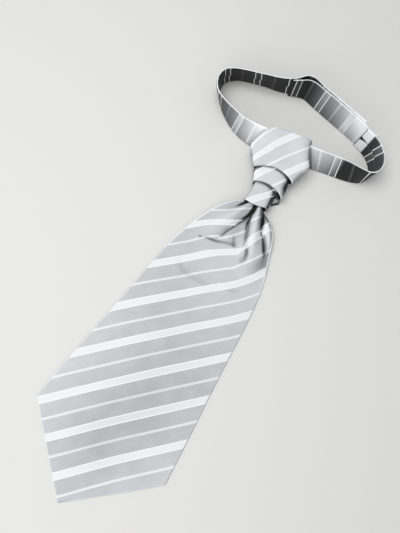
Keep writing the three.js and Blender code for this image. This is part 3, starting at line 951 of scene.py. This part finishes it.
# Marks are how far along each band its stripes lie, how many of the stripes' periods have
# passed there, and how much further along they reach its lower edge than its upper.
tabMarks = ((6.3, 0.5, 0), (17, 1, 0), (33.1, 1.5, 0), (48.4, 2, 0), (63.8, 2.5, 0), (79, 3, 0))
leftMarks = ((33.3, 0, 0), (50.1, 0.5, 0), (105.4, 2.5, 1), (136.4, 3.5, 0), (168, 4.5, 0))
bands = {
    "left": {
        "rows": leftRows,
        "outside": -1,
        "wall": band["wall"],
        "marks": (leftMarks, leftMarks),  # on its face inside the loop, and outside
        "seam": 1,
        "wings": 0,
        "leaves": (29, 22),  # how far along it leaves the wrap, below and above
        "shadedEnd": 0,  # how far from its end its upper edge gets painted shade instead of its painted highlight
    },
    "right": {
        "rows": rightRows,
        "outside": 1,
        "wall": band["wall"],
        "marks": (
            ((90, 0, 0), (105.5, 0.5, 0), (121, 1, 0)),
            ((35, 0, 5.6), (50.1, 0.5, 3), (66.3, 1, 5.6), (81.7, 1.5, -1.5)),
        ),
        "seam": 1,
        "wings": 11,  # how much of its end has come open at the seam
        "leaves": (31, 22.5),
        "shadedEnd": 0,
    },
    "tab": {
        "rows": tabRows,
        "outside": -1,
        "wall": band["tabWall"],
        "marks": (tabMarks, tabMarks),
        "seam": 0,
        "wings": 0,
        "leaves": (-9, -9),
        "shadedEnd": 18,
    },
}


def stripesPassed(marks, along, climb):
    # how many stripe periods have passed, running on evenly before the first mark and after
    # the last; climb is from minus a half at the lower edge to a half at the upper
    at, turns, skew = np.array(marks, float).T
    along = along + np.interp(along, at, skew) * climb
    before = turns[0] + (along - at[0]) / stripes["period"]
    after = turns[-1] + (along - at[-1]) / stripes["period"]
    between = np.interp(along, at, turns)
    return np.where(along < at[0], before, np.where(along > at[-1], after, between))


def bandFrame(settings, count):
    # evenly spaced places along a band: its lower edge, the ways up its face and through it
    dense = fillRows(settings["rows"], band["tableSteps"])
    steps = np.hypot(np.diff(dense["x"]), np.diff(dense["y"]))
    length = np.concatenate([[0], np.cumsum(steps)])
    along = np.linspace(0, length[-1], count)
    run = {name: np.interp(along, length, values) for name, values in dense.items()}
    forward = np.stack([np.gradient(run["x"]), np.gradient(run["y"]), np.zeros(count)], -1)
    forward /= np.linalg.norm(forward, axis=1)[:, None]
    reach = settings["outside"] * run["lean"]
    climb = np.sqrt(band["width"] ** 2 - reach**2)
    face = np.stack([forward[:, 1] * reach, -forward[:, 0] * reach, climb], -1) / band["width"]
    through = np.cross(face, forward)
    through /= np.linalg.norm(through, axis=1)[:, None]
    lowest = np.maximum(run["rise"], 0) + np.abs(through[:, 2]) * settings["wall"] / 2
    base = np.stack([run["x"], run["y"], lowest], -1)
    return along, run, base, face, through


def makeBand(name, settings, count):
    along, run, base, face, through = bandFrame(settings, count)
    width, half = band["width"], settings["wall"] / 2
    # round the section: up one side, over the upper edge, down the other side and back
    up = np.linspace(half, width - half, band["faceRows"] + 1)
    turn = np.linspace(0, math.pi, band["edgeRows"] + 2)[1:-1]
    over = width - half + half * np.sin(turn)
    height = np.concatenate([up, over, up[::-1], half - half * np.sin(turn), up[:1]])
    side = np.concatenate([0 * up + 1, np.cos(turn), 0 * up - 1, -np.cos(turn), [1]])
    flatSide = np.abs(side) == 1
    inner = side < 0 if settings["outside"] < 0 else side > 0
    fromEnd = (along[-1] - along)[:, None]

    # the cloth swells a little between its folded edges, and is drawn in at the seam
    between = np.sin(math.pi * np.clip(height / width, 0, 1)) ** band["swellPower"]
    swell = 1 + band["swell"] * flatSide * between
    opened = smoothStep(settings["wings"], 0, fromEnd) if settings["wings"] else 0 * fromEnd

    def atSeam(name):
        closed, more = band[name]
        return closed + more * opened

    seam = bell(height - width / 2, atSeam("seamWide")) * settings["seam"] * (flatSide & inner)
    offset = side * (half * swell - atSeam("seamDeep") * seam)
    ends = np.minimum(along, along[-1] - along)[:, None]
    offset = offset * roundedEnd(ends, band["endRound"])
    points = base[:, None] + face[:, None] * height[None, :, None]
    points = points + through[:, None] * offset[..., None]

    # painted light: a highlight along the upper edge and on the opened wings at its end, and painted
    # shade where it leaves the knot, in the seam, on the upper edge's sides and at the wings' rim
    least, more = band["climb"]
    lustre = run["lustre"][:, None] * (least + more * height / width)
    below, above = settings["leaves"]
    leaving = along[:, None] - below - (above - below) * height / width
    lustre = lustre - band["leaveDark"] * bell(leaving, band["leaveWide"])
    edge = smoothStep(*(width - part * half for part in band["edgeFrom"]), height)
    edge = band["edgeShine"] * edge * smoothStep(band["edgeUpTo"], 0, lustre)
    lustre = lustre - seam * atSeam("seamDark")
    if settings["wings"]:
        reach = settings["wings"] - band["wingSlant"] * height / width
        lit = smoothStep(reach, reach - band["wingSlant"], fromEnd)
        rim = band["rimDark"] * bell(ends, band["rimWide"])
        lustre = lustre + inner * (band["wingShine"] * lit - rim)
    endShaded = smoothStep(settings["shadedEnd"], settings["shadedEnd"] - band["shadedEndSoft"], fromEnd)
    least, more = band["topDark"]
    top = smoothStep(*(width - part * half for part in band["topFrom"]), height)
    lustre = lustre - (least + more * endShaded) * top + edge * (1 - endShaded)
    climb = (height / width - 0.5)[None, :] + 0 * lustre
    passed = (stripesPassed(marks, along[:, None] + 0 * climb, climb) for marks in settings["marks"])
    turns = np.where(inner, *passed)
    atSide = settings["seam"] * (flatSide & inner) * band["seamShift"]
    stray = atSide * ((height / (width / 2)) % 1 - 0.5)
    pattern = np.stack([height + 0 * turns, turns * stripes["period"] + stray], -1)
    return layCloth(name, points, pattern, lustre), along[-1]


for name, node, slotName, count in (
    ("left", "neckband_left", "neckband_satin", 420),
    ("right", "neckband_right", "neckband_satin", 260),
    ("tab", "fastening_tab", "tab_satin", 200),
):
    piece, length = makeBand(node + "_cloth", bands[name], count)
    finishPiece(piece, node, slotName)

print("knot slots and tail")


def cutSlot(wrap, settings, upTo):
    # the band's shape, a little wider, is cut out of the wrap
    along, run, base, face, through = bandFrame(settings, band["slotSteps"])
    use = along < upTo
    spare = band["slotSpare"]
    half = settings["wall"] / 2 * (1 + band["swell"]) + spare
    low, high = -spare, band["width"] + spare
    corners = [(low, 1), (high, 1), (high, -1), (low, -1), (low, 1)]
    edges = [base[use] + face[use] * up + through[use] * side * half for up, side in corners]
    points = withPoles(np.stack(edges, axis=1)[::band["slotEvery"]])
    cutter = layCloth("slotCutter", points, 0 * points[..., :2], 0 * points[..., 0])
    modifier = wrap.modifiers.new("slot", "BOOLEAN")
    modifier.object = cutter
    modifier.solver = "EXACT"
    bpy.context.view_layer.objects.active = wrap
    bpy.ops.object.modifier_apply(modifier="slot")
    bpy.data.objects.remove(cutter)


for name, upTo in (("left", 45), ("right", 60)):
    cutSlot(wrapPieces["upper"], bands[name], upTo)
for name, piece in wrapPieces.items():
    finishPiece(piece, f"knot_{name}_wrap", "knot_satin")

tail = {
    "rings": 40,
    "endRound": 1.2,
    "endLeast": 0.01,
    "square": (2.3, 2.3),
    "stripe": 6,
    "stripeClimb": 0.25,
    # painted shade under the wraps and towards its left: how dark, and from where to where
    "darkUp": (0.9, 10.5, 13),
    "darkLeft": (0.5, 9.6, 8.2),
}
tailRows = named(ringColumns, [
    (7.4, 8.2, 14.6, 0, 2.2, 0, 4.2), (9, 8, 14.6, 0.8, 3.8, 0, 3.4), (12.4, 8, 13.8, 2, 5.4, 0, 1.6),
    (20, 8.4, 12.4, 3, 6.2, 0, 0),
])


def makeTail():
    at = np.linspace(tailRows[0]["w"], tailRows[-1]["w"], tail["rings"])
    fromEnd = np.minimum(at - at[0], at[-1] - at)
    rounding = np.sqrt(np.clip(fromEnd / tail["endRound"], tail["endLeast"], 1))
    table = zip(rowsAt(tailRows, at), rounding)
    rings = [wrapRing(row, 0, tail["square"], flatten) for row, flatten in table]
    u, w, z, around = (np.array([ring[i] for ring in rings]) for i in range(4))
    x, y = fromKnot(u, w)
    (deepUp, *up), (deepLeft, *left) = tail["darkUp"], tail["darkLeft"]
    lustre = -deepUp * smoothStep(*up, w) - deepLeft * smoothStep(*left, u)
    pattern = np.stack([around, tail["stripe"] + w * tail["stripeClimb"]], -1)
    return layCloth("tail_cloth", np.stack([x, y, z], -1), pattern, lustre, capped=True)


finishPiece(makeTail(), "knot_tail", "knot_satin")

print("studio")
studio = {
    "floor": (0.57, 0.562, 0.548, 1),
    "floorSide": 4,
    "floorRoughness": 0.7,
    "world": (0.93, 0.96, 1, 1),
    "worldStrength": 0.5,
    "aim": (0, 0.02, 0),
    "boxes": [
        {"place": (-0.32, 0.02, 1.0), "side": 0.8, "power": 9.6},
        {"place": (0.05, -0.85, 0.45), "side": 0.8, "power": 4},
    ],
}


def addStudio():
    bpy.ops.mesh.primitive_plane_add(size=studio["floorSide"])
    floor = bpy.context.active_object
    floor.name = "floor"
    material = bpy.data.materials.new("paleFloor")
    material.use_nodes = True
    shader = material.node_tree.nodes["Principled BSDF"]
    shader.inputs["Base Color"].default_value = studio["floor"]
    shader.inputs["Roughness"].default_value = studio["floorRoughness"]
    floor.data.materials.append(material)
    for settings in studio["boxes"]:
        bpy.ops.object.light_add(type="AREA", location=settings["place"])
        box = bpy.context.active_object
        box.data.size = settings["side"]
        box.data.energy = settings["power"]
        aim = Vector(studio["aim"]) - Vector(settings["place"])
        box.rotation_euler = aim.to_track_quat("-Z", "Y").to_euler()
    world = bpy.data.worlds.new("studio")
    world.use_nodes = True
    sky = world.node_tree.nodes["Background"]
    sky.inputs["Color"].default_value = studio["world"]
    sky.inputs["Strength"].default_value = studio["worldStrength"]
    bpy.context.scene.world = world
    bpy.context.scene.view_settings.view_transform = "Standard"


addStudio()
